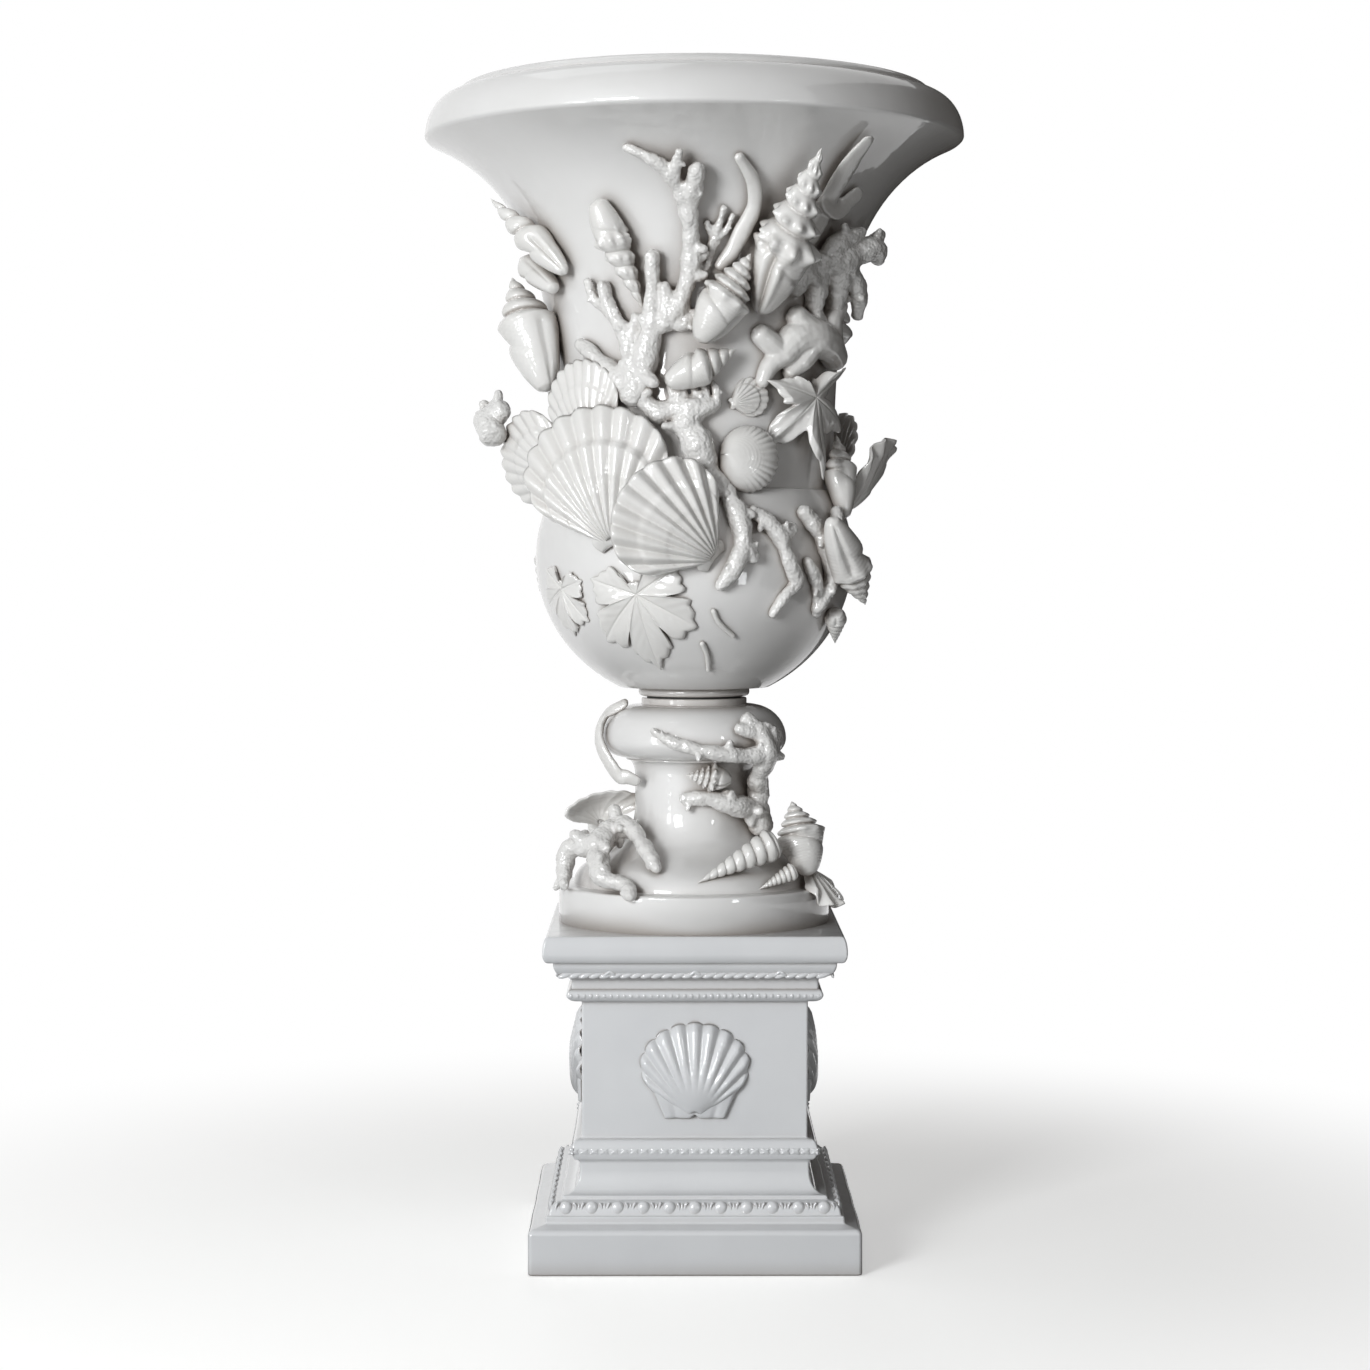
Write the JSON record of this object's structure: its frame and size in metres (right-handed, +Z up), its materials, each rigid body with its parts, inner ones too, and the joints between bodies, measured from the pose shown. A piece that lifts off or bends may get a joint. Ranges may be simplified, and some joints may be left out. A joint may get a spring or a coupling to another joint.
{
  "type": "footed garden vase on a pedestal",
  "caption": "White glazed earthenware vase with a flared bowl on a waisted foot, dressed with modelled shells, corals and vine leaves, standing loose on a square moulded pedestal.",
  "frame": {"origin": "centre of the pedestal's underside", "axes": "+Z up along the vase's axis, -Y towards the side that the picture shows, +X to its right"},
  "size_m": [0.5679, 0.568, 1.22],
  "materials": {
    "white_glaze": "thick glossy white tin glaze over pale earthenware",
    "pedestal_glaze": "glossy white tin glaze, slightly greyer than the vase",
    "steel": "zinc plated, satin",
    "rubber": "matt black"
  },
  "bodies": {
    "pedestal": {"pedestal": "pedestal_glaze", "pedestal_scallop_front": "pedestal_glaze", "pedestal_scallop_right": "pedestal_glaze", "pedestal_scallop_back": "pedestal_glaze", "pedestal_scallop_left": "pedestal_glaze"},
    "vase": {"foot": "white_glaze", "bowl": "white_glaze", "seam_gasket": "rubber", "tie_rod": "steel", "rod_nuts": "steel", "rod_washers": "steel", "rod_pads": "rubber", "spindle_shell_left": "white_glaze", "oval_shell_left": "white_glaze", "great_whelk_left": "white_glaze", "turret_shell_upright": "white_glaze", "staghorn_coral": "white_glaze", "slender_coral": "white_glaze", "finger_coral": "white_glaze", "whelk_middle": "white_glaze", "great_spindle_shell": "white_glaze", "moon_snail": "white_glaze", "strap_coral": "white_glaze", "crag_coral": "white_glaze", "arch_coral": "white_glaze", "rear_scallop_left": "white_glaze", "side_scallop_left": "white_glaze", "great_scallop": "white_glaze", "front_scallop": "white_glaze", "coral_knot_left": "white_glaze", "branch_coral": "white_glaze", "cockle_shell": "white_glaze", "small_fan_shell": "white_glaze", "curled_vine_leaf": "white_glaze", "funnel_leaf": "white_glaze", "conch_right": "white_glaze", "root_coral_middle": "white_glaze", "root_coral_right": "white_glaze", "whelk_lower_right": "white_glaze", "turret_shell_lower": "white_glaze", "twig_coral": "white_glaze", "vine_leaf_large": "white_glaze", "vine_leaf_small": "white_glaze", "vine_tendrils": "white_glaze", "foot_coral_right": "white_glaze", "foot_whelk": "white_glaze", "foot_auger_large": "white_glaze", "foot_auger_small": "white_glaze", "foot_conch": "white_glaze", "foot_leaf": "white_glaze", "foot_coral_left": "white_glaze", "foot_strand": "white_glaze", "foot_dish_shell": "white_glaze", "back_scallops": "white_glaze", "back_whelks": "white_glaze", "back_corals": "white_glaze", "back_leaves": "white_glaze", "foot_back_coral": "white_glaze", "foot_back_shells": "white_glaze"}
  },
  "joints": [
    {"name": "vase_lift", "type": "slide", "parent": "pedestal", "child": "vase", "axis": [0, 0, 1], "range_m": [0, 0.1]}
  ]
}
